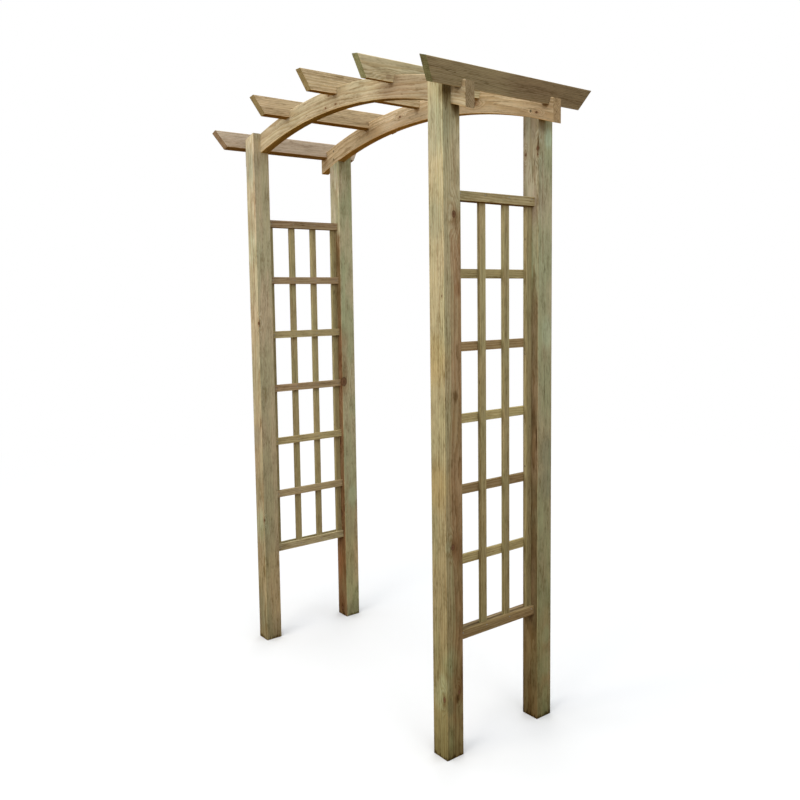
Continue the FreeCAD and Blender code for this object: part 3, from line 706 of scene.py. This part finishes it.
def wind_thread(core, crest, bottom, top, pitch):
    """A ridge wound round a screw's core, from bottom to top."""
    ridge = crest - core
    bpy.ops.object.select_all(action="DESELECT")
    bpy.ops.mesh.primitive_circle_add(vertices=4, radius=ridge, location=(core, 0, bottom),
                                      rotation=(math.pi / 2, 0, 0))
    thread = bpy.context.object
    bpy.ops.object.transform_apply(location=True, rotation=True, scale=True)
    wind = thread.modifiers.new("wind", "SCREW")
    wind.axis = "Z"
    wind.screw_offset = pitch
    wind.iterations = int((top - bottom) / pitch)
    wind.steps = THREAD_STEPS
    wind.render_steps = THREAD_STEPS
    bpy.ops.object.modifier_apply(modifier=wind.name)
    bpy.ops.object.mode_set(mode="EDIT")
    bpy.ops.mesh.select_all(action="SELECT")
    bpy.ops.mesh.remove_doubles(threshold=0.001 * MILLIMETRE)
    bpy.ops.mesh.fill_holes(sides=4)
    bpy.ops.mesh.normals_make_consistent(inside=False)
    bpy.ops.object.mode_set(mode="OBJECT")
    return thread


def cross_cutter(arm, width, depth):
    """A cross that tapers downwards, to cut a screw's driving recess."""
    bpy.ops.object.select_all(action="DESELECT")
    bpy.ops.mesh.primitive_cube_add(size=width)
    cutter = bpy.context.object
    bpy.ops.object.mode_set(mode="EDIT")
    bpy.ops.mesh.select_mode(type="FACE")
    for way in ((1, 0, 0), (-1, 0, 0), (0, 1, 0), (0, -1, 0)):
        bpy.ops.mesh.select_all(action="DESELECT")
        bpy.ops.object.mode_set(mode="OBJECT")
        outermost = max(cutter.data.polygons, key=lambda face: face.center.dot(Vector(way)))
        outermost.select = True
        bpy.ops.object.mode_set(mode="EDIT")
        reach = Vector(way) * (arm - width / 2)
        bpy.ops.mesh.extrude_region_move(TRANSFORM_OT_translate={"value": reach})
    bpy.ops.mesh.select_mode(type="VERT")
    bpy.ops.mesh.select_all(action="SELECT")
    bpy.ops.transform.resize(value=(1, 1, 2 * depth / width), center_override=(0, 0, 0))
    bpy.ops.mesh.select_all(action="DESELECT")
    bpy.ops.object.mode_set(mode="OBJECT")
    for vertex in cutter.data.vertices:
        vertex.select = vertex.co.z < 0
    bpy.ops.object.mode_set(mode="EDIT")
    bpy.ops.transform.resize(value=(RECESS_TAPER, RECESS_TAPER, 1), center_override=(0, 0, 0))
    bpy.ops.object.mode_set(mode="OBJECT")
    return cutter


def model_screw(shank, head, length):
    """A countersunk wood screw, pointing down: head with a cross recess, plain neck, thread and point."""
    core = 0.76 * shank
    rim = 0.25 * MILLIMETRE
    sunk = head - shank
    neck = 0.4 * length - sunk
    shoulder = shank - core
    point = 3 * shank
    threaded = length - sunk - neck - shoulder - point
    top_radius = head - 2 * rim
    start_turning(SCREW_SIDES, top_radius)
    screw = pull_down([(rim, head - rim), (sunk - rim, shank), (neck, shank), (shoulder, core),
                       (threaded, core), (point, 0.02 * shank)], top_radius)
    cutter = cross_cutter(arm=0.64 * head, width=0.22 * head, depth=0.55 * head)
    recess = screw.modifiers.new("recess", "BOOLEAN")
    recess.operation = "DIFFERENCE"
    recess.solver = "MANIFOLD"
    recess.object = cutter
    bpy.context.view_layer.objects.active = screw
    bpy.ops.object.modifier_apply(modifier=recess.name)
    bpy.data.objects.remove(cutter)
    thread = wind_thread(core, shank, bottom=-(length - 0.8 * point), top=-(sunk + neck),
                         pitch=1.05 * shank)
    thread.select_set(True)
    screw.select_set(True)
    bpy.context.view_layer.objects.active = screw
    bpy.ops.object.join()
    return screw


def model_nail(shank, head, thickness, length):
    """A nail with a flat head that is slightly domed, pointing down from the underside of its head."""
    crown = 0.55 * head
    point = 4 * shank
    start_turning(NAIL_SIDES, crown, thickness)
    return pull_down([(0.35 * thickness, 0.92 * head), (0.25 * thickness, head),
                      (0.4 * thickness, 0.96 * head), (0.0, shank), (length - point, shank),
                      (point, 0.05 * shank)], crown)


def drive_in(name, pattern, places, material, replaced):
    """Copies of a fastener, each pointing from its place along its direction, joined to one piece."""
    copies = []
    for number, (place, direction) in enumerate(places):
        one = pattern.copy()
        one.data = pattern.data.copy()
        bpy.context.scene.collection.objects.link(one)
        turn = (-Vector(direction)).to_track_quat("Z", "Y").to_matrix().to_4x4()
        spin = Matrix.Rotation(TURN_ON * number, 4, "Z")
        one.matrix_world = Matrix.Translation(place) @ turn @ spin
        copies.append(one)
    bpy.data.objects.remove(pattern)
    bpy.ops.object.select_all(action="DESELECT")
    for one in copies:
        one.select_set(True)
    piece = copies[0]
    bpy.context.view_layer.objects.active = piece
    bpy.ops.object.transform_apply(location=True, rotation=True, scale=True)
    bpy.ops.object.join()
    bpy.ops.object.shade_smooth_by_angle(angle=SMOOTH_ANGLE)
    bpy.ops.object.select_all(action="DESELECT")
    piece.name = name
    piece.data.name = name
    piece.data.materials.clear()
    piece.data.materials.append(material)
    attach(piece, "root")
    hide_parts(replaced)


# Sizes of the fasteners, from the solids that they replace.
SCREW_RADIUS = 0.0025
SCREW_HEAD = 0.005
PANEL_SCREW_RADIUS = 0.002
PANEL_SCREW_HEAD = 0.004
BEAM_SCREW_LENGTH = 0.060
BEAM_SCREWS_PER_LAP = 2
RAFTER_SCREW_LENGTH = 0.084
PANEL_SCREW_LENGTH = 0.060
PANEL_SCREWS_PER_STILE = 4
NAIL_RADIUS = 0.001
NAIL_HEAD = 0.00225
NAIL_HEAD_THICKNESS = 0.0008
NAIL_LENGTH = 0.022
NAIL_STAGGER = 0.007


def level_screw_places(node, head, length, rows):
    """Places of a node's level screws: on both sides and at both ends, in rows from low to high."""
    low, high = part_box(node)
    lowest = low.z + head
    pitch = (high.z - head - lowest) / (rows - 1)
    return [(Vector((side * (high.x - head), end * (high.y - length), lowest + row * pitch)), (0, end, 0))
            for side in SIDES.values() for end in ENDS for row in range(rows)]


def rafter_screw_places():
    """Places of the screws from the rafters' tops into the beams, square to the arch."""
    places = []
    beam_y = abs(middle("front_beam").y)
    for rafter in RAFTER_TIMBERS:
        centre = middle(rafter)
        outwards = Vector((centre.x, 0, centre.z - ARCH_CENTRE)).normalized()
        for end in ENDS:
            foot = Vector((centre.x, end * beam_y, centre.z))
            places.append((foot + outwards * RAFTER_HALF[1], -outwards))
    return places


def nail_places(side):
    """Places of a panel's nails: a head on each rail's bare face wherever it crosses an upright."""
    places = []
    for rail in RAILS + OUTER_RAILS:
        low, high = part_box(f"{side}_panel_{rail}")
        outer = rail in OUTER_RAILS
        faces_right = (SIDES[side] > 0) == outer
        face = high.x if faces_right else low.x
        way = -1 if faces_right else 1
        height = (low.z + high.z) / 2 + (NAIL_STAGGER if outer else 0.0)
        for upright in UPRIGHTS:
            places.append((Vector((face, middle(f"{side}_panel_{upright}").y, height)), (way, 0, 0)))
    return places


drive_in("beam_wood_screws", model_screw(SCREW_RADIUS, SCREW_HEAD, BEAM_SCREW_LENGTH),
         level_screw_places("beam_screws", SCREW_HEAD, BEAM_SCREW_LENGTH, BEAM_SCREWS_PER_LAP),
         screw_steel, "beam_screws")
drive_in("rafter_wood_screws", model_screw(SCREW_RADIUS, SCREW_HEAD, RAFTER_SCREW_LENGTH),
         rafter_screw_places(), screw_steel, "rafter_screws")
drive_in("panel_wood_screws", model_screw(PANEL_SCREW_RADIUS, PANEL_SCREW_HEAD, PANEL_SCREW_LENGTH),
         level_screw_places("panel_screws", PANEL_SCREW_HEAD, PANEL_SCREW_LENGTH, PANEL_SCREWS_PER_STILE),
         screw_steel, "panel_screws")
for side in SIDES:
    drive_in(f"{side}_lath_nails", model_nail(NAIL_RADIUS, NAIL_HEAD, NAIL_HEAD_THICKNESS, NAIL_LENGTH),
             nail_places(side), nail_steel, f"{side}_panel_nails")

# The floor: pale to the camera, fading to white, and darker and warmer in the light that it throws back.
FLOOR_SIZE = 60
FLOOR_SHOWN = (0.715, 0.692, 0.662)
FLOOR_BOUNCE = (0.145, 0.072, 0.014)
FLOOR_FADE = (1.5, 6.0)
WHITE = (1, 1, 1)
bpy.ops.mesh.primitive_plane_add(size=FLOOR_SIZE)
floor = bpy.context.object
floor.name = "floor"
floor_finish = Finish("pale_floor")
shown = floor_finish.shown()
far = floor_finish.smooth(floor_finish.length(floor_finish.place), *FLOOR_FADE)
far = floor_finish.math("MULTIPLY", far, shown)
floor_finish.coat("Base Color", floor_finish.blend(shown, FLOOR_BOUNCE, FLOOR_SHOWN))
floor_finish.coat("Roughness", 1.0)
floor_finish.coat("Specular IOR Level", 0.0)
white = floor_finish.add("Emission", {"Color": WHITE, "Strength": 1.0})
surface = floor_finish.add("MixShader", {0: far, 1: floor_finish.shader.outputs[0], 2: white})
floor_finish.feed(floor_finish.tree.nodes["Material Output"].inputs["Surface"], surface)
floor.data.materials.append(floor_finish.material)
floor.select_set(False)

# Soft sky light, brightest overhead; the camera sees plain white.
SKY_OVERHEAD = 1.75
SKY_LEVEL = 0.36
SKY_COLOUR = (0.93, 0.985, 1.06)
world = bpy.data.worlds.new("soft_sky")
bpy.context.scene.world = world
world.use_nodes = True
sky = Nodes(world.node_tree)
up = sky.axes(sky.add("TexCoord", {}, output="Generated"))["Z"]
strength = sky.add("MapRange", {"Value": up, "To Min": SKY_LEVEL, "To Max": SKY_OVERHEAD})
light = sky.add("Background", {"Color": SKY_COLOUR, "Strength": strength})
white = sky.add("Background", {"Color": WHITE, "Strength": 1.0})
sky_surface = sky.add("MixShader", {0: sky.shown(), 1: light, 2: white})
sky.feed(world.node_tree.nodes["World Output"].inputs["Surface"], sky_surface)

# Wide soft lamps: the main one in front, weaker ones on the right and behind on the left.
LAMP_AIM = Vector((0, 0, 1.4))
LAMP_SIZE = (4.0, 2.0)


def soft_lamp(name, place, watts, colour):
    """A wide lamp that looks at the arch."""
    lamp_data = bpy.data.lights.new(name, "AREA")
    lamp_data.shape = "RECTANGLE"
    lamp_data.size, lamp_data.size_y = LAMP_SIZE
    lamp_data.energy = watts
    lamp_data.color = colour
    lamp = bpy.data.objects.new(name, lamp_data)
    bpy.context.scene.collection.objects.link(lamp)
    lamp.location = place
    lamp.rotation_euler = (LAMP_AIM - lamp.location).to_track_quat("-Z", "Y").to_euler()


soft_lamp("front_lamp", place=(0.4, -4.8, 2.8), watts=181, colour=(0.97, 0.95, 0.90))
soft_lamp("right_lamp", place=(9.0, -1.0, 4.2), watts=150, colour=(0.90, 0.95, 1.0))
soft_lamp("rear_left_lamp", place=(-5.0, 5.0, 3.2), watts=92, colour=(0.98, 0.98, 0.98))

# The camera of the photograph, whose image is 800 pixels square.
IMAGE_SIZE = 800
FOCAL_PIXELS = 823.3
IMAGE_CENTRE = (421.3, 369.1)
CAMERA_PLACE = Vector((2.5767, -1.8734, 1.5067))
CAMERA_YAW = math.radians(51.473)
CAMERA_PITCH = math.radians(-5.28)
CAMERA_ROLL = math.radians(-0.629)
SENSOR = 36.0
camera_data = bpy.data.cameras.new("camera")
camera_data.sensor_width = SENSOR
camera_data.lens = FOCAL_PIXELS * SENSOR / IMAGE_SIZE
camera_data.shift_x = (IMAGE_SIZE / 2 - IMAGE_CENTRE[0]) / IMAGE_SIZE
camera_data.shift_y = (IMAGE_CENTRE[1] - IMAGE_SIZE / 2) / IMAGE_SIZE
camera = bpy.data.objects.new("camera", camera_data)
bpy.context.scene.collection.objects.link(camera)
look = Euler((math.pi / 2 + CAMERA_PITCH, 0, CAMERA_YAW)).to_matrix()
look = look @ Matrix.Rotation(CAMERA_ROLL, 3, "Z")
camera.matrix_world = Matrix.Translation(CAMERA_PLACE) @ look.to_4x4()
bpy.context.scene.camera = camera

bpy.context.scene.view_settings.view_transform = "Standard"
